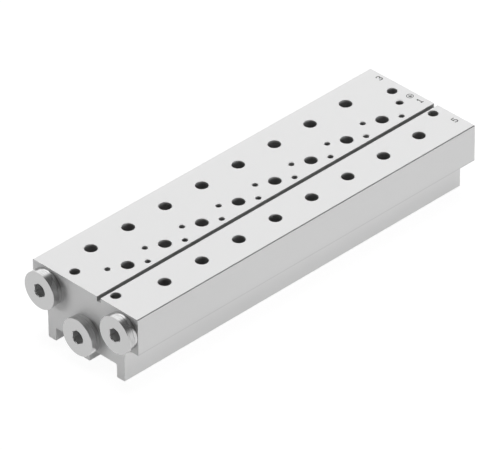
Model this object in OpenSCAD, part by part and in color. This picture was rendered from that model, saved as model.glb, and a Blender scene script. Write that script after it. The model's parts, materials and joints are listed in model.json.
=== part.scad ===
// Manifold rail for a row of small valves, closed at one end by three hexagon socket plugs.
// The origin is the middle of the rail's underside: +X along the rail away from the plugs, +Y to the
// side of port 3, +Z up to the valve face. All sizes are in millimetres.

/* [Stations] */
// Number of valve stations
stations = 8; // [2:1:12]
// Distance from one station to the next
pitch = 22; // [20:0.5:30]
// Distance from each end face to the nearest station
end_margin = 25; // [22:0.5:40]

/* [Section] */
// Width of the upper block
rail_w = 64; // [62:0.5:80]
// Height from the feet to the valve face
rail_h = 36.2; // [35.8:0.2:45]
// Height of the upper block's side faces
block_h = 18.4; // [17.4:0.2:20]
// Width over the two legs
foot_w = 46.8; // [44:0.2:50]
// Thickness of a leg
leg_t = 4.8; // [3:0.2:6]
// Height of the two channels under the rail
channel_h = 6.8; // [4:0.2:7]
// Thickness of the middle rib
rib_t = 4.2; // [3:0.2:6]
// Radius where a leg runs into the underside of the upper block
neck_r = 6; // [2:0.5:7]
// Chamfer along the upper long edges
edge_chamfer = 0.4; // [0.2:0.1:1]
// Radius in the inner corners of the channels
channel_r = 0.8; // [0.4:0.1:1.5]
// Radius on the lower edges of the legs and the rib
foot_r = 0.4; // [0.2:0.1:1]

/* [Galleries] */
// Distance of ports 3 and 5 from the rail's sides
exhaust_inset = 9; // [8.6:0.1:9.6]
// Depth of ports 3 and 5 below the valve face
exhaust_drop = 9.7; // [9.4:0.1:10.4]
// Metal between the thread of port 1 and the channels, where the rib doesn't back it
supply_web = 0.8; // [0.2:0.05:1.2]
// Diameter of the galleries of ports 3 and 5
exhaust_gallery_d = 11; // [9:0.2:11.4]
// Diameter of the gallery of port 1
supply_gallery_d = 10.4; // [8:0.2:10.8]
// Pitch diameter of the pipe thread in both ends of each gallery
thread_d = 12.3; // [11.8:0.1:12.6]
// Tapped length of each end port
thread_l = 12; // [11:0.5:16]
// Diameter over the chamfer at the mouth of each end port
mouth_d = 13.2; // [12.8:0.1:13.4]

/* [Valve face] */
// Diameter of the air holes in the valve face
air_d = 6; // [4:0.1:6.4]
// Chamfer at the mouth of the air holes and the mounting holes
mouth_chamfer = 0.1; // [0.1:0.05:0.5]
// Distance of the outer air holes from the middle of their gallery, towards the middle of the rail
air_offset = 3; // [2:0.1:4]
// Shift of the outer air holes along the rail
air_shift = 2.4; // [0:0.1:4]
// Pitch diameter of the thread in the valve screw holes
screw_d = 2.7; // [2:0.1:3]
// Diameter over the chamfer of the valve screw holes
screw_mouth_d = 3.2; // [3.1:0.1:3.6]
// Depth of the valve screw holes
screw_depth = 9; // [5:0.5:10]
// Distance of the valve screws from the station's middle, along the rail
screw_x = 8; // [7:0.1:9]
// Distance of the valve screws from the station's middle, across the rail
screw_y = 4; // [3:0.1:4.2]
// Width of the long groove
groove_w = 2.2; // [1:0.1:2.4]
// Depth of the long groove
groove_depth = 2.4; // [1:0.1:4]
// Distance of the groove from the middle of the rail, on the side of port 5
groove_y = 8.4; // [7.8:0.1:8.6]

/* [Fixing] */
// Diameter of the mounting holes
fix_d = 4.8; // [4.2:0.1:5]
// Distance of the mounting holes from the middle of the rail
fix_y = 12.5; // [12:0.1:13]
// Distance of the mounting holes from the end faces
fix_x = 6; // [5:0.1:8]
// Pitch diameter of the thread in the earth screw hole
earth_d = 3.5; // [2.5:0.1:3.6]
// Diameter over the chamfer of the earth screw hole
earth_mouth_d = 4.2; // [4:0.1:4.6]
// Depth of the earth screw hole
earth_depth = 8; // [5:0.5:10]
// Distance of the earth screw from the far end face
earth_x = 10; // [8:0.2:12]
// Distance of the earth screw from the middle of the rail
earth_y = 4; // [3:0.2:5]

/* [Plugs] */
// Diameter of a plug's head
head_d = 18; // [16:0.2:19]
// Thickness of a plug's head
head_t = 3.4; // [2.5:0.1:5]
// Chamfer round the front of a plug's head
head_chamfer = 0.1; // [0.1:0.05:0.5]
// Chamfer round the back of a plug's head
head_back_chamfer = 0.25; // [0.1:0.05:0.5]
// Width across the flats of the hexagon socket
hex_af = 6; // [4:0.5:8]
// Depth of the hexagon socket
hex_depth = 5; // [3:0.5:7]
// How far the countersink at the socket's mouth reaches past the hexagon's corners
hex_mouth = 0.1; // [0.05:0.05:0.5]
// Width of the ledge between the socket's flats and the point of its pilot hole
hex_ledge = 0.2; // [0.1:0.05:0.5]
// Length of a plug's shank under its head
shank_l = 10; // [8:0.5:10.5]
// Length of the plain neck behind the head
shank_neck_l = 2.2; // [1.6:0.1:3]
// Diameter of the plain neck behind the head
shank_neck_d = 10.8; // [9.6:0.1:11.2]
// Radial clearance between shank and thread
thread_gap = 0.05; // [0.02:0.01:0.1]
// Thickness of a seal ring
seal_t = 1.7; // [1:0.1:2]
// Outer diameter of a seal ring
seal_d = 17.7; // [16:0.1:18.6]
// Bore of a seal ring
seal_bore_d = 13.5; // [13.2:0.1:14.5]

/* [Hidden] */
$fn = 96;
// How far a cutting tool reaches past the face that it enters
over = 1;
rail_l = (stations - 1) * pitch + 2 * end_margin;
near_x = -rail_l / 2;
far_x = rail_l / 2;
channel_w = (foot_w - rib_t) / 2 - leg_t;
// The mouth's chamfer is 45 degrees, so its depth is the step in radius.
mouth_l = (mouth_d - thread_d) / 2;
drill_point_angle = 118;
countersink_angle = 120;
exhaust_y = rail_w / 2 - exhaust_inset;
supply_z = channel_h + supply_web + thread_d / 2;
supply_drop = rail_h - supply_z;
air_y = exhaust_y - air_offset;
// Middle of each port in an end face: [Y, Z, gallery diameter]
port_3 = [exhaust_y, rail_h - exhaust_drop, exhaust_gallery_d];
port_1 = [0, supply_z, supply_gallery_d];
port_5 = [-exhaust_y, rail_h - exhaust_drop, exhaust_gallery_d];
ports = [port_3, port_1, port_5];

function station_x(i) = near_x + end_margin + i * pitch;

// A flat shape in the plane of an end face, drawn as [Y, Z], run along the whole rail.
module along_rail(length, from = 0) {
    translate([from, 0, 0])
        rotate([90, 0, 90])
            linear_extrude(height = length)
                children();
}

// What a concave radius leaves standing in a square corner at the origin.
module corner_web(r) {
    difference() {
        square(r);
        translate([r, r])
            circle(r);
    }
}

// What a convex radius takes off a square corner at the origin, a little oversize outside.
module corner_cut(r) {
    difference() {
        translate([-over, -over])
            square(r + over);
        translate([r, r])
            circle(r);
    }
}

module upper_block_section() {
    z0 = rail_h - block_h;
    polygon([
        [-rail_w / 2, z0],
        [rail_w / 2, z0],
        [rail_w / 2, rail_h - edge_chamfer],
        [rail_w / 2 - edge_chamfer, rail_h],
        [-rail_w / 2 + edge_chamfer, rail_h],
        [-rail_w / 2, rail_h - edge_chamfer]
    ]);
}

// One channel under the rail, between a leg and the rib, with its two inner corners rounded.
module channel_section() {
    difference() {
        translate([rib_t / 2, -over])
            square([channel_w, channel_h + over]);
        translate([rib_t / 2, channel_h])
            mirror([0, 1])
                corner_web(channel_r);
        translate([rib_t / 2 + channel_w, channel_h])
            rotate(180)
                corner_web(channel_r);
    }
}

module rail_section() {
    difference() {
        union() {
            upper_block_section();
            translate([-foot_w / 2, 0])
                square([foot_w, rail_h - block_h + over]);
            for (side = [0, 1])
                mirror([side, 0])
                    translate([foot_w / 2, rail_h - block_h])
                        mirror([0, 1])
                            corner_web(neck_r);
        }
        for (side = [0, 1])
            mirror([side, 0]) {
                channel_section();
                for (y = [foot_w / 2, rib_t / 2])
                    translate([y, 0])
                        rotate(90)
                            corner_cut(foot_r);
                translate([foot_w / 2 - leg_t, 0])
                    corner_cut(foot_r);
            }
        translate([-groove_y - groove_w / 2, rail_h - groove_depth])
            square([groove_w, groove_depth + over]);
    }
}

// A gallery with a tapped port at each end, as one revolved tool along +X from the near end.
module gallery_tool(gallery_d) {
    rotate([0, 90, 0])
        rotate_extrude()
            polygon([
                [0, -over],
                [mouth_d / 2 + over, -over],
                [thread_d / 2, mouth_l],
                [thread_d / 2, thread_l],
                [gallery_d / 2, thread_l + (thread_d - gallery_d) / 2],
                [gallery_d / 2, rail_l - thread_l - (thread_d - gallery_d) / 2],
                [thread_d / 2, rail_l - thread_l],
                [thread_d / 2, rail_l - mouth_l],
                [mouth_d / 2 + over, rail_l + over],
                [0, rail_l + over]
            ]);
}

// A hole from the valve face down, with a 45 degree chamfer at its mouth and a tip below its depth.
module hole_tool(d, mouth, depth, tip) {
    rotate_extrude($fn = 48)
        polygon([
            [0, over],
            [mouth / 2 + over, over],
            [d / 2, -(mouth - d) / 2],
            [d / 2, -depth],
            [0, -depth - tip]
        ]);
}

// A blind tapped hole, which ends in the point of its drill.
module tapped_hole_tool(d, mouth, depth) {
    hole_tool(d, mouth, depth, d / 2 / tan(drill_point_angle / 2));
}

module plain_hole_tool(d, depth) {
    hole_tool(d, d + 2 * mouth_chamfer, depth, 0);
}

// The three air holes of one station, each down to the middle of its gallery.
module air_holes_tool() {
    for (side = [-1, 1])
        translate([-side * air_shift, side * air_y, 0])
            plain_hole_tool(air_d, exhaust_drop);
    plain_hole_tool(air_d, supply_drop);
}

// The two screw holes of one station, on a diagonal across its middle.
module valve_screws_tool() {
    for (side = [-1, 1])
        translate([-side * screw_x, side * screw_y, 0])
            tapped_hole_tool(screw_d, screw_mouth_d, screw_depth);
}

module mounting_holes_tool() {
    for (x = [near_x + fix_x, far_x - fix_x], y = [-fix_y, fix_y])
        translate([x, y, rail_h])
            plain_hole_tool(fix_d, rail_h + over);
}

module rail_body() {
    color("gainsboro")
        difference() {
            along_rail(rail_l, near_x)
                rail_section();
            for (port = ports)
                translate([near_x, port[0], port[1]])
                    gallery_tool(port[2]);
            for (i = [0 : stations - 1])
                translate([station_x(i), 0, rail_h]) {
                    air_holes_tool();
                    valve_screws_tool();
                }
            mounting_holes_tool();
            translate([far_x - earth_x, earth_y, rail_h])
                tapped_hole_tool(earth_d, earth_mouth_d, earth_depth);
        }
}

// A broached hexagon socket from z = 0 down, with its countersunk mouth and the point of its pilot drill.
module socket_tool() {
    corner_r = hex_af / 2 / cos(30);
    mouth_r = corner_r + hex_mouth;
    spread = tan(countersink_angle / 2);
    pilot_r = hex_af / 2 - hex_ledge;
    translate([0, 0, -hex_depth])
        cylinder(r = corner_r, h = hex_depth + over, $fn = 6);
    rotate_extrude()
        polygon([
            [0, over],
            [mouth_r + over * spread, over],
            [0, -mouth_r / spread]
        ]);
    rotate_extrude()
        polygon([
            [0, -hex_depth + over],
            [pilot_r, -hex_depth + over],
            [pilot_r, -hex_depth],
            [0, -hex_depth - pilot_r / tan(drill_point_angle / 2)]
        ]);
}

// A hexagon socket plug along +X, with x = 0 at the end face that its seal lies on.
module plug() {
    head_x = -seal_t - head_t;
    shank_d = thread_d - 2 * thread_gap;
    shank_chamfer = (shank_d - shank_neck_d) / 2;
    color("silver")
        difference() {
            rotate([0, 90, 0])
                rotate_extrude()
                    polygon([
                        [0, head_x],
                        [head_d / 2 - head_chamfer, head_x],
                        [head_d / 2, head_x + head_chamfer],
                        [head_d / 2, -seal_t - head_back_chamfer],
                        [head_d / 2 - head_back_chamfer, -seal_t],
                        [shank_neck_d / 2, -seal_t],
                        [shank_neck_d / 2, shank_neck_l - seal_t],
                        [shank_d / 2, shank_neck_l - seal_t + shank_chamfer],
                        [shank_d / 2, shank_l - seal_t - shank_chamfer],
                        [shank_neck_d / 2, shank_l - seal_t],
                        [0, shank_l - seal_t]
                    ]);
            translate([head_x, 0, 0])
                rotate([0, -90, 0])
                    socket_tool();
        }
}

// The flat ring between a plug's head and the end face.
module seal() {
    color("lightgray")
        translate([-seal_t, 0, 0])
            rotate([0, 90, 0])
                difference() {
                    cylinder(d = seal_d, h = seal_t);
                    translate([0, 0, -over])
                        cylinder(d = seal_bore_d, h = seal_t + 2 * over);
                }
}

module at_port(port) {
    translate([near_x, port[0], port[1]])
        children();
}

rail_body();
at_port(port_3) plug();  // plug_port_3
at_port(port_1) plug();  // plug_port_1
at_port(port_5) plug();  // plug_port_5
at_port(port_3) seal();  // seal_port_3
at_port(port_1) seal();  // seal_port_1
at_port(port_5) seal();  // seal_port_5
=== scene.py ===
import json
import math

import bmesh
import bpy
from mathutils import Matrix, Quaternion, Vector

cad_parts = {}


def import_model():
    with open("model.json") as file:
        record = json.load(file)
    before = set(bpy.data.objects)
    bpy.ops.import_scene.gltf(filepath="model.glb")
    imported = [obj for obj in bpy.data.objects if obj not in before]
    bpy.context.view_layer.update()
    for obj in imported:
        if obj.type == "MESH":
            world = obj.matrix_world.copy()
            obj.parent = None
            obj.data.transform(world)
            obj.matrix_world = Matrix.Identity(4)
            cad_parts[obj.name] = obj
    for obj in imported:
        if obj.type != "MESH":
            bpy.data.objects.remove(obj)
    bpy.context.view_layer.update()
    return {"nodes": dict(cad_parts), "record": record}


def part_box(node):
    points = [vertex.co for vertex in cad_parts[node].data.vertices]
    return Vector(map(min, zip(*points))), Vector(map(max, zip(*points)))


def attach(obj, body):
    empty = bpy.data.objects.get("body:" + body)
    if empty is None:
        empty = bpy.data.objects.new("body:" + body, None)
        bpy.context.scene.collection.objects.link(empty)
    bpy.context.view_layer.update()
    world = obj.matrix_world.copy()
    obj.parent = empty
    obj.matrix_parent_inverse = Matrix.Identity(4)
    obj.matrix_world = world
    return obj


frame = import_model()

MM = 0.001
nodes = frame["nodes"]
mounts = {mount["name"]: mount for mount in frame["record"]["mounts"]}
PORTS = ("3", "1", "5")


def grey(level):
    return (level, level, level)


# Sizes are in millimetres where nothing else is said. The rail is centred on X and Y and stands on
# Z = 0, with its open end at +X.
rail_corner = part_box("rail_body")[1] / MM
TOP = rail_corner.z
HALF_WIDTH = rail_corner.y
HALF_LENGTH = rail_corner.x
BLOCK_HEIGHT = 18.4
BLOCK_BOTTOM = TOP - BLOCK_HEIGHT
HALF_FOOT = 23.4
CHANNEL_HEIGHT = 6.8
EDGE_CHAMFER = 0.4
GROOVE_Y = -8.4
HALF_GROOVE = 1.1
HALF_SOCKET = 3.0

# Valve screw holes: their places from the station's middle, and how deep their threads begin and how
# long these are
SCREW_X = 8.0
SCREW_Y = 4.0
SCREW_THREAD_DEPTH = 0.4
SCREW_THREAD_LENGTH = 8.4

# How far the record's mounts lie behind the mouth of the thread: a share of a port's thread, and
# millimetres in the earth hole
PORT_MOUNT_SHARE = 0.25
EARTH_MOUNT_DEPTH = 1.0

# Threads: pitch, minor radius, and steps in one turn
PIPE_THREAD = (1.337, 5.72, 48)
M3_THREAD = (0.5, 1.23, 20)
M4_THREAD = (0.7, 1.62, 24)

# A thread's ridge: half its width at root and crest in pitches, and how deep its root lies in the wall.
# At both ends it rises from a share of its height to all of it, over a part of a turn.
RIDGE_ROOT = 0.3
RIDGE_CREST = 0.07
RIDGE_BURIED = 0.06
RIDGE_RISE = 0.5
RIDGE_LEAST = 0.02

# Marks on the valve face near the open end: their places, their sizes, and how far a stroke runs past
# its points, in its own widths
MARK_X = HALF_LENGTH - 3.4
MARK_PLACES = {
    "mark_3": (MARK_X + 0.7, 23.5),
    "mark_1": (MARK_X + 0.3, -1.5),
    "mark_5": (MARK_X + 0.2, -22.9),
}
EARTH_PLACE = (MARK_X, 4.1)
MARK_HEIGHT = 3.0
MARK_WIDTH = 1.9
MARK_STROKE = 0.46
EARTH_STROKE = 0.32
MARK_PROUD = 0.012
STROKE_OVERLAP = 0.25

# The camera: the point at the valve face's height that it looks at, its direction and roll in degrees,
# its distance, and its lens
AIM = Vector((-19.91, -15.99, TOP))
AZIMUTH = -44.421
ELEVATION = 34.947
ROLL = -0.589
DISTANCE = 2989.0
LENS = 504.72

# Colours, linear. A pair holds the two colours that grain goes between.
ANODISED = (grey(0.78), grey(1.0))
# The dark grey of the painted shade in the holes, on their threads, in the groove and along the block's
# lower edges, and of the dark line along its upper edges
DARK_GREY = grey(0.02)
CUT = grey(0.95)
ZINC = grey(0.51)
ZINC_SIDE = (grey(0.42), grey(0.6))
SOCKET = grey(0.62)
RING = grey(0.62)
RING_SIDE = (grey(0.5), grey(0.64))
MARK = (grey(0.05), grey(0.14))
WHITE = grey(1.0)

# How much of the dark grey there is: painted shade at the holes' mouths, deep in the rail's holes and on
# the threads in them, in the groove, and along the block's lower edges; and the dark line along its upper
# edges
MOUTH_SHADE = 0.2
DEPTH_SHADE = 0.5
THREAD_SHADE = 0.85
GROOVE_SHADE = 0.5
TOP_EDGE_TONE = 0.75
LOWER_EDGE_SHADE = 0.12

# Where the rail's looks change. Each pair says where a change begins and where it is complete, measured
# inwards from the outer faces, down from the valve face, inwards from the end faces, from the middle of
# the groove, across from the middle of the rail, or up from the base.
RIM_INSIDE = (0.01, 0.03)
SKIN_INSIDE = (0.03, 0.1)
DEPTH_INSIDE = (0.1, 1.6)
TOP_CHAMFER_DOWN = (0.5, 0.4)
END_CHAMFER_INWARDS = (0.6, 0.5)
TOP_EDGE_DOWN = (EDGE_CHAMFER, EDGE_CHAMFER - 0.05)
GROOVE_REACH = (HALF_GROOVE + 0.3, HALF_GROOVE + 0.2)
TOP_EDGE_ACROSS = (HALF_WIDTH - EDGE_CHAMFER, HALF_WIDTH - EDGE_CHAMFER + 0.05)
LOWER_EDGE_ACROSS = (HALF_WIDTH - 0.2, HALF_WIDTH - 0.1)
LOWER_EDGE_UP = (BLOCK_BOTTOM + 0.7, BLOCK_BOTTOM + 0.4)

# Beside a flat face, a surface is its chamfer where this part of its normal lies along the face's own
SLOPED = (0.5, 0.6)

# The rail's surface: noise per millimetre along X, Y and Z in the streaks, and in the clouds, how much
# each of them lightens it, its metallic share, its least roughness and what the streaks add to that, and
# the streaks' depth
STREAK_SCALE = (0.02, 5.0, 5.0)
CLOUD_SCALE = 0.05
GRAIN_TONE = 0.02
RAIL_METALLIC = 0.2
RAIL_ROUGHNESS = 0.36
STREAK_ROUGHNESS = 0.12
STREAK_DEPTH = 0.004

# Turned pieces: noise per millimetre of radius on the face, and of X, Y and Z on the side, the levels of
# noise between which the side's two colours change, the roughness of both, and the grain's depth
RING_SCALE = 6.0
LINE_SCALE = (5.0, 0.25, 0.25)
LINE_TONE = (0.3, 0.7)
FACE_ROUGHNESS = (0.14, 0.2)
SIDE_ROUGHNESS = (0.12, 0.24)
TURNED_DEPTH = 0.003

# Where a turned piece's side begins, from its outer radius and from its face along X, and where its
# socket begins, from its axis square to the flats
SIDE_RADIUS = (-0.1, -0.03)
SIDE_START = (0.15, 0.25)
SOCKET_START = (HALF_SOCKET + 0.06, HALF_SOCKET + 0.02)

# The marks' noise per millimetre, their roughness and what the noise adds to it
MARK_SCALE = 8.0
MARK_ROUGHNESS = 0.5
MARK_GRAIN_ROUGHNESS = 0.2

# The studio that metal mirrors is white, apart from a dim ceiling and a dim room in front. Each has a
# level, the way to its middle, and the parts of a ray along that way between which it sets in.
CEILING = grey(0.15)
CEILING_WAY = (0.0, -0.5, 0.866)
CEILING_RISE = (0.5, 0.8)
ROOM = grey(0.03)
ROOM_WAY = (-1.0, -1.0, 0.0)
ROOM_RISE = (0.2, 0.7)

# What matt surfaces get from the studio's walls
AMBIENT = grey(0.05)

# The floor: half its width and its drop below the rail in metres, the grey with which it lights the
# object, and the grey and the glow with which it is seen
FLOOR_HALF = 6.0
FLOOR_DROP = 0.0001
FLOOR_GREY = grey(0.42)
SEEN_GREY = grey(0.12)
SEEN_GLOW = grey(0.95)


class Nodes:
    """A node tree, with short calls that return the output socket of each new node."""

    def __init__(self, tree):
        self.tree = tree

    def node(self, kind, *values, **settings):
        """A new node with its settings, and with its first inputs filled in order."""
        made = self.tree.nodes.new(kind)
        for key, value in settings.items():
            setattr(made, key, value)
        for socket, value in zip(made.inputs, values):
            self.plug(socket, value)
        return made

    def plug(self, socket, value):
        if isinstance(value, bpy.types.NodeSocket):
            self.tree.links.new(value, socket)
        elif socket.type == "RGBA":
            socket.default_value = (*value, 1.0)
        else:
            socket.default_value = value

    def math(self, operation, *values):
        return self.node("ShaderNodeMath", *values, operation=operation).outputs[0]

    def plus(self, a, b):
        return self.math("ADD", a, b)

    def minus(self, a, b):
        return self.math("SUBTRACT", a, b)

    def times(self, a, b):
        return self.math("MULTIPLY", a, b)

    def least(self, a, b):
        return self.math("MINIMUM", a, b)

    def most(self, a, b):
        return self.math("MAXIMUM", a, b)

    def size(self, a):
        return self.math("ABSOLUTE", a)

    def vector(self, operation, *values):
        return self.node("ShaderNodeVectorMath", *values, operation=operation).outputs["Vector"]

    def number(self, operation, *values):
        """The one number that a vector operation such as LENGTH gives."""
        return self.node("ShaderNodeVectorMath", *values, operation=operation).outputs["Value"]

    def ramp(self, value, low, high, out_low=0.0, out_high=1.0):
        made = self.node("ShaderNodeMapRange", value, low, high, out_low, out_high,
                         interpolation_type="SMOOTHSTEP")
        return made.outputs[0]

    def blend(self, factor, a, b):
        """The number a where factor is 0 and b where it is 1."""
        return self.plus(self.times(self.minus(1.0, factor), a), self.times(factor, b))

    def mix(self, factor, a, b):
        """The colour a where factor is 0 and b where it is 1."""
        made = self.node("ShaderNodeMix", data_type="RGBA")
        pins = {pin.name: pin for pin in made.inputs if pin.enabled}
        for name, value in (("Factor", factor), ("A", a), ("B", b)):
            self.plug(pins[name], value)
        return next(pin for pin in made.outputs if pin.enabled)

    def seen(self, *kinds):
        """1 for rays of the kinds given that have met no matt surface yet, and 0 for all others."""
        path = self.node("ShaderNodeLightPath").outputs
        total = path[kinds[0]]
        for kind in kinds[1:]:
            total = self.most(total, path[kind])
        return self.times(total, self.math("LESS_THAN", path["Diffuse Depth"], 0.5))

    def rise(self, way, low, high):
        """0 to 1 as the part of a ray's direction along the way given goes from low to high."""
        place = self.node("ShaderNodeTexCoord").outputs["Generated"]
        return self.ramp(self.number("DOT_PRODUCT", place, Vector(way).normalized()), low, high)


class Shader(Nodes):
    """A new Principled material, with the place in millimetres and parts of the normal at hand."""

    def __init__(self, name):
        self.material = bpy.data.materials.new(name)
        self.material.use_nodes = True
        super().__init__(self.material.node_tree)
        self.surface = self.tree.nodes["Principled BSDF"]
        where = self.node("ShaderNodeTexCoord")
        self.place = self.vector("MULTIPLY", where.outputs["Object"], grey(1 / MM))
        self.x, self.y, self.z = self.split(self.place)
        self.facing_x, _, self.facing_z = self.split(where.outputs["Normal"])

    def split(self, vector):
        return self.node("ShaderNodeSeparateXYZ", vector).outputs[:3]

    def join(self, x, y, z):
        return self.node("ShaderNodeCombineXYZ", x, y, z).outputs[0]

    def noise(self, vector, scale=1.0, detail=2.0):
        made = self.node("ShaderNodeTexNoise")
        for name, value in (("Vector", vector), ("Scale", scale), ("Detail", detail)):
            self.plug(made.inputs[name], value)
        return made.outputs["Fac"]

    def from_axis(self, *centre):
        """Distance in millimetres from an axis along X through (Y, Z)."""
        across = self.join(0.0, self.y, self.z)
        return self.number("LENGTH", self.vector("SUBTRACT", across, (0.0, *centre)))

    def bump(self, height, depth):
        """Height is 0 to 1, and depth is its size in millimetres."""
        made = self.node("ShaderNodeBump")
        for name, value in (("Strength", 1.0), ("Distance", depth * MM), ("Height", height)):
            self.plug(made.inputs[name], value)
        self.plug(self.surface.inputs["Normal"], made.outputs[0])

    def set(self, **values):
        for name, value in values.items():
            self.plug(self.surface.inputs[name.replace("_", " ").title()], value)


def rail_material(name, depth_shade):
    """Clear anodised extrusion: fine lines along X, painted shade that darkens the bores and the groove
    with depth, and painted shade along the block's lower edges.
    """
    look = Shader(name)
    # How deep a point lies behind the faces of the block, or of the narrower core over the channels
    across = look.size(look.y)
    below_top = look.minus(TOP, look.z)
    from_end = look.minus(HALF_LENGTH, look.size(look.x))
    in_block = look.least(look.minus(HALF_WIDTH, across), look.minus(look.z, BLOCK_BOTTOM))
    in_core = look.least(look.minus(HALF_FOOT, across), look.minus(look.z, CHANNEL_HEIGHT))
    inside = look.least(look.most(in_block, in_core), look.least(below_top, from_end))

    in_groove = look.ramp(look.size(look.minus(look.y, GROOVE_Y)), *GROOVE_REACH)
    top_slope = look.times(look.facing_z, look.ramp(below_top, *TOP_CHAMFER_DOWN))
    end_slope = look.times(look.size(look.facing_x), look.ramp(from_end, *END_CHAMFER_INWARDS))
    chamfer = look.ramp(look.most(top_slope, end_slope), *SLOPED)
    hole_wall = look.times(look.ramp(inside, *SKIN_INSIDE), look.minus(1.0, chamfer))
    # Painted shade: the hole walls darken with depth, from the mouth's share to the deep share
    hole_shade = look.times(hole_wall, look.ramp(inside, *DEPTH_INSIDE, MOUTH_SHADE, depth_shade))
    # Painted shade on the groove's walls and floor
    groove_shade = look.times(in_groove, look.ramp(inside, *SKIN_INSIDE, 0.0, GROOVE_SHADE))
    top_edge = look.times(look.ramp(across, *TOP_EDGE_ACROSS), look.ramp(below_top, *TOP_EDGE_DOWN))
    # Painted shade along the block's lower edges, where the chamfer faces down
    lower_edge_shade = look.times(look.ramp(across, *LOWER_EDGE_ACROSS), look.ramp(look.z, *LOWER_EDGE_UP))
    cut_rim = look.times(look.ramp(inside, *RIM_INSIDE), look.times(chamfer, look.minus(1.0, top_edge)))

    streaks = look.noise(look.vector("MULTIPLY", look.place, STREAK_SCALE), detail=3.0)
    clouds = look.noise(look.place, scale=CLOUD_SCALE)
    grain = look.plus(look.times(streaks, GRAIN_TONE), look.times(clouds, GRAIN_TONE))
    colour = look.mix(grain, *ANODISED)
    colour = look.mix(look.times(top_edge, TOP_EDGE_TONE), colour, DARK_GREY)
    colour = look.mix(look.times(lower_edge_shade, LOWER_EDGE_SHADE), colour, DARK_GREY)
    colour = look.mix(cut_rim, colour, CUT)
    # Painted shade in the holes and the groove
    colour = look.mix(look.most(hole_shade, groove_shade), colour, DARK_GREY)
    look.set(base_color=colour, metallic=RAIL_METALLIC,
             roughness=look.plus(RAIL_ROUGHNESS, look.times(streaks, STREAK_ROUGHNESS)))
    look.bump(streaks, STREAK_DEPTH)
    return look.material


def turned_material(name, node, face, side):
    """Metal turned about the node's own axis along X: a fine face, a streaky side, and a dull socket."""
    look = Shader(name)
    low, high = (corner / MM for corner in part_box(node))
    centre = (low + high) / 2
    outer = (high.z - low.z) / 2
    radius = look.from_axis(centre.y, centre.z)
    on_side = look.times(look.ramp(radius, *(outer + step for step in SIDE_RADIUS)),
                         look.ramp(look.x, *(low.x + step for step in SIDE_START)))
    y = look.minus(look.y, centre.y)
    z = look.minus(look.z, centre.z)
    # The socket's three pairs of flats
    to_flats = look.size(y)
    for turn in (60, 120):
        angle = math.radians(turn)
        across = look.plus(look.times(y, math.cos(angle)), look.times(z, math.sin(angle)))
        to_flats = look.most(to_flats, look.size(across))
    in_socket = look.ramp(to_flats, *SOCKET_START)

    rings = look.noise(look.join(look.times(radius, RING_SCALE), 0.0, 0.0), detail=3.0)
    lines = look.noise(look.vector("MULTIPLY", look.place, LINE_SCALE), detail=3.0)
    turned = look.mix(look.ramp(lines, *LINE_TONE), *side)
    face_roughness = look.ramp(rings, 0.0, 1.0, *FACE_ROUGHNESS)
    side_roughness = look.ramp(lines, 0.0, 1.0, *SIDE_ROUGHNESS)
    look.set(base_color=look.mix(in_socket, look.mix(on_side, face, turned), SOCKET),
             metallic=look.minus(1.0, in_socket),
             roughness=look.blend(on_side, face_roughness, side_roughness))
    look.bump(look.blend(on_side, rings, lines), TURNED_DEPTH)
    return look.material


def mark_material():
    """Dark grey laser marking, a little uneven."""
    look = Shader("laser_mark")
    grain = look.noise(look.place, scale=MARK_SCALE)
    look.set(base_color=look.mix(grain, *MARK),
             roughness=look.plus(MARK_ROUGHNESS, look.times(grain, MARK_GRAIN_ROUGHNESS)))
    return look.material


def piece(name, bm, material):
    """Makes a piece of bm's faces. It rides on the rail and takes its finish."""
    mesh = bpy.data.meshes.new(name)
    bm.to_mesh(mesh)
    bm.free()
    made = bpy.data.objects.new(name, mesh)
    bpy.context.scene.collection.objects.link(made)
    made.data.materials.append(material)
    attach(made, "root")


def helix(bm, mouth, axis, wall, length, thread):
    """Adds a thread's ridge to bm: a trapezoid swept round the wall, running out at both ends."""
    pitch, crest, steps = thread
    side = axis.orthogonal().normalized()
    other = axis.cross(side)
    root = wall + RIDGE_BURIED
    count = int(length / pitch * steps)
    rings = []
    for i in range(count + 1):
        angle = 2 * math.pi * i / steps
        radial = side * math.cos(angle) + other * math.sin(angle)
        share = min(1.0, i / steps / RIDGE_RISE, (count - i) / steps / RIDGE_RISE)
        top = wall + (crest - wall) * max(share, RIDGE_LEAST)
        middle = -(pitch * 0.5 + (length - pitch) * i / count)
        section = ((-RIDGE_ROOT, root), (-RIDGE_CREST, top), (RIDGE_CREST, top), (RIDGE_ROOT, root))
        corners = [mouth + axis * (middle + pitch * shift) + radial * radius for shift, radius in section]
        rings.append([bm.verts.new(corner * MM) for corner in corners])
    for a, b in zip(rings, rings[1:]):
        for j in range(4):
            bm.faces.new((a[j], a[(j + 1) % 4], b[(j + 1) % 4], b[j]))
    bm.faces.new(rings[0])
    bm.faces.new(list(reversed(rings[-1])))


def thread_piece(name, holes, thread, material):
    """Holes are (mouth of the thread, axis, wall radius, length), in millimetres."""
    bm = bmesh.new()
    for mouth, axis, wall, length in holes:
        helix(bm, mouth, axis, wall, length, thread)
    bmesh.ops.recalc_face_normals(bm, faces=bm.faces)
    piece(name, bm, material)


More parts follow.
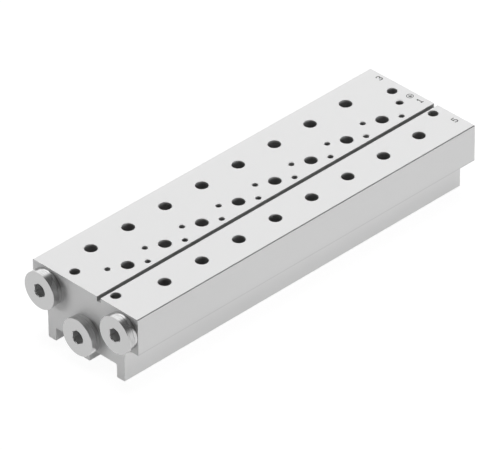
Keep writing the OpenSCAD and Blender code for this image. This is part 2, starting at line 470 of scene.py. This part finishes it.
def threads(material):
    along, up = Vector((1, 0, 0)), Vector((0, 0, 1))
    for port in PORTS:
        mount = mounts["port_" + port]
        wall, length = mount["dims"]["r_mm"], mount["dims"]["length_mm"]
        mouth = Vector(mount["pos_m"]) / MM + along * length * PORT_MOUNT_SHARE
        thread_piece("port_" + port + "_thread", [(mouth, along, wall, length)], PIPE_THREAD, material)
    earth = mounts["earth_screw"]
    wall, length = earth["dims"]["r_mm"], earth["dims"]["length_mm"]
    mouth = Vector(earth["pos_m"]) / MM + up * EARTH_MOUNT_DEPTH
    thread_piece("earth_screw_thread", [(mouth, up, wall, length)], M4_THREAD, material)
    holes = []
    for name, mount in mounts.items():
        if name.endswith("_screws"):
            middle = Vector(mount["pos_m"]) / MM
            for side in (-1, 1):
                mouth = middle + Vector((-SCREW_X * side, SCREW_Y * side, -SCREW_THREAD_DEPTH))
                holes.append((mouth, up, mount["dims"]["hole_r_mm"], SCREW_THREAD_LENGTH))
    thread_piece("valve_screw_threads", holes, M3_THREAD, material)


def arc(centre, radius, start, end, steps=14):
    """Points of an arc in the unit box of a mark, from start to end in degrees."""
    angles = [math.radians(start + (end - start) * i / steps) for i in range(steps + 1)]
    return [(centre[0] + radius[0] * math.cos(a), centre[1] + radius[1] * math.sin(a)) for a in angles]


# Each mark's strokes in a box of 1 by 1, with its foot at 0
MARKS = {
    "mark_1": [[(0.2, 0.76), (0.55, 1.0), (0.55, 0.0)], [(0.15, 0.0), (0.95, 0.0)]],
    "mark_3": [arc((0.45, 0.75), (0.45, 0.25), 160, -90) + arc((0.45, 0.25), (0.5, 0.25), 90, -160)],
    "mark_5": [[(0.9, 1.0), (0.15, 1.0), (0.1, 0.52)] + arc((0.45, 0.3), (0.5, 0.3), 120, -150)],
}
EARTH_MARK = [arc((0.5, 0.5), (0.5, 0.5), 0, 360, steps=32), [(0.5, 0.85), (0.5, 0.5)],
              [(0.2, 0.5), (0.8, 0.5)], [(0.3, 0.37), (0.7, 0.37)], [(0.4, 0.24), (0.6, 0.24)]]


def stroke(bm, points, width):
    """Adds a closed flat bar along the points to bm, proud of the valve face."""
    low, high = TOP - MARK_PROUD, TOP + MARK_PROUD
    for a, b in zip(points, points[1:]):
        along = (b - a).normalized()
        half = Vector((-along.y, along.x)) * width / 2
        a, b = a - along * width * STROKE_OVERLAP, b + along * width * STROKE_OVERLAP
        ends = [a - half, b - half, b + half, a + half]
        lower = [bm.verts.new((p.x * MM, p.y * MM, low * MM)) for p in ends]
        upper = [bm.verts.new((p.x * MM, p.y * MM, high * MM)) for p in ends]
        bm.faces.new(upper)
        bm.faces.new(list(reversed(lower)))
        for i in range(4):
            j = (i + 1) % 4
            bm.faces.new((lower[i], lower[j], upper[j], upper[i]))


def mark_piece(name, strokes, centre, width, line, material):
    """Draws a mark of MARK_HEIGHT and the width given in strokes as wide as line."""
    bm = bmesh.new()
    for points in strokes:
        stroke(bm, [Vector((centre[0] + (u - 0.5) * width, centre[1] + (v - 0.5) * MARK_HEIGHT))
                    for u, v in points], line)
    piece(name, bm, material)


def marks(material):
    for name, place in MARK_PLACES.items():
        mark_piece(name, MARKS[name], place, MARK_WIDTH, MARK_STROKE, material)
    mark_piece("earth_mark", EARTH_MARK, EARTH_PLACE, MARK_HEIGHT, EARTH_STROKE, material)


def dress():
    """Gives every CAD node its material."""
    finish = {"rail_body": rail_material("anodised_aluminium", DEPTH_SHADE)}
    for port in PORTS:
        plug, seal = "plug_port_" + port, "seal_port_" + port
        finish[plug] = turned_material("zinc_plug_" + port, plug, ZINC, ZINC_SIDE)
        finish[seal] = turned_material("seal_ring_" + port, seal, RING, RING_SIDE)
    for name, material in finish.items():
        nodes[name].data.materials.clear()
        nodes[name].data.materials.append(material)


def area_lamp(name, way, distance, size, radiance, mirrored=False):
    """A square softbox, in metres, that lights the object from the way given. Metal mirrors it or not."""
    lamp = bpy.data.lights.new(name, "AREA")
    lamp.size = size
    lamp.energy = radiance * math.pi * size ** 2
    made = bpy.data.objects.new(name, lamp)
    bpy.context.scene.collection.objects.link(made)
    towards = Vector(way).normalized()
    made.location = towards * distance
    made.rotation_euler = towards.to_track_quat("Z", "Y").to_euler()
    made.visible_glossy = mirrored


def lamps():
    """The studio's soft light, of which metal mirrors only the lamp behind the object."""
    area_lamp("top", (0.1, 0.1, 1.0), distance=1.8, size=1.0, radiance=7.0)
    area_lamp("back", (0.574, 0.6, 0.6), distance=2.2, size=2.0, radiance=0.53, mirrored=True)
    area_lamp("side", (0.1, -1.0, 0.06), distance=2.0, size=1.2, radiance=7.1)
    area_lamp("end", (-1.0, 0.85, 0.0), distance=2.0, size=0.9, radiance=9.4)


def world():
    """A white background, which metal mirrors with a dim ceiling and a dim room in front."""
    made = bpy.data.worlds.new("studio")
    bpy.context.scene.world = made
    made.use_nodes = True
    net = Nodes(made.node_tree)
    studio = net.mix(net.rise(CEILING_WAY, *CEILING_RISE), WHITE, CEILING)
    studio = net.mix(net.rise(ROOM_WAY, *ROOM_RISE), studio, ROOM)
    mirrored = net.mix(net.seen("Is Glossy Ray"), AMBIENT, studio)
    shown = net.mix(net.seen("Is Camera Ray", "Is Transmission Ray"), mirrored, WHITE)
    background = net.tree.nodes["Background"]
    net.plug(background.inputs["Color"], shown)
    net.plug(background.inputs["Strength"], 1.0)


def floor():
    """A pale floor, which the camera and metal see as white apart from the object's shadow."""
    mesh = bpy.data.meshes.new("floor")
    corners = [(x * FLOOR_HALF, y * FLOOR_HALF, 0) for x, y in ((-1, -1), (1, -1), (1, 1), (-1, 1))]
    mesh.from_pydata(corners, [], [(0, 1, 2, 3)])
    made = bpy.data.objects.new("floor", mesh)
    made.location.z = -FLOOR_DROP
    bpy.context.scene.collection.objects.link(made)
    material = bpy.data.materials.new("floor")
    material.use_nodes = True
    net = Nodes(material.node_tree)
    net.tree.nodes.clear()
    plain = net.node("ShaderNodeBsdfDiffuse", FLOOR_GREY).outputs[0]
    faint = net.node("ShaderNodeBsdfDiffuse", SEEN_GREY).outputs[0]
    glow = net.node("ShaderNodeEmission", SEEN_GLOW).outputs[0]
    seen = net.node("ShaderNodeAddShader", faint, glow).outputs[0]
    shown = net.seen("Is Camera Ray", "Is Transmission Ray", "Is Glossy Ray")
    net.node("ShaderNodeOutputMaterial", net.node("ShaderNodeMixShader", shown, plain, seen).outputs[0])
    mesh.materials.append(material)


def camera():
    data = bpy.data.cameras.new("camera")
    data.lens = LENS
    made = bpy.data.objects.new("camera", data)
    bpy.context.scene.collection.objects.link(made)
    turn, rise = math.radians(AZIMUTH), math.radians(ELEVATION)
    back = Vector((math.sin(turn) * math.cos(rise), -math.cos(turn) * math.cos(rise), math.sin(rise)))
    made.location = (AIM + back * DISTANCE) * MM
    made.rotation_mode = "QUATERNION"
    level = (-back).to_track_quat("-Z", "Y")
    made.rotation_quaternion = level @ Quaternion((0, 0, 1), math.radians(ROLL))
    bpy.context.scene.camera = made


dress()
# The threads get a deeper painted shade than the rail's own holes
threads(rail_material("tapped_aluminium", THREAD_SHADE))
marks(mark_material())
lamps()
world()
floor()
camera()
bpy.context.scene.view_settings.view_transform = "Standard"
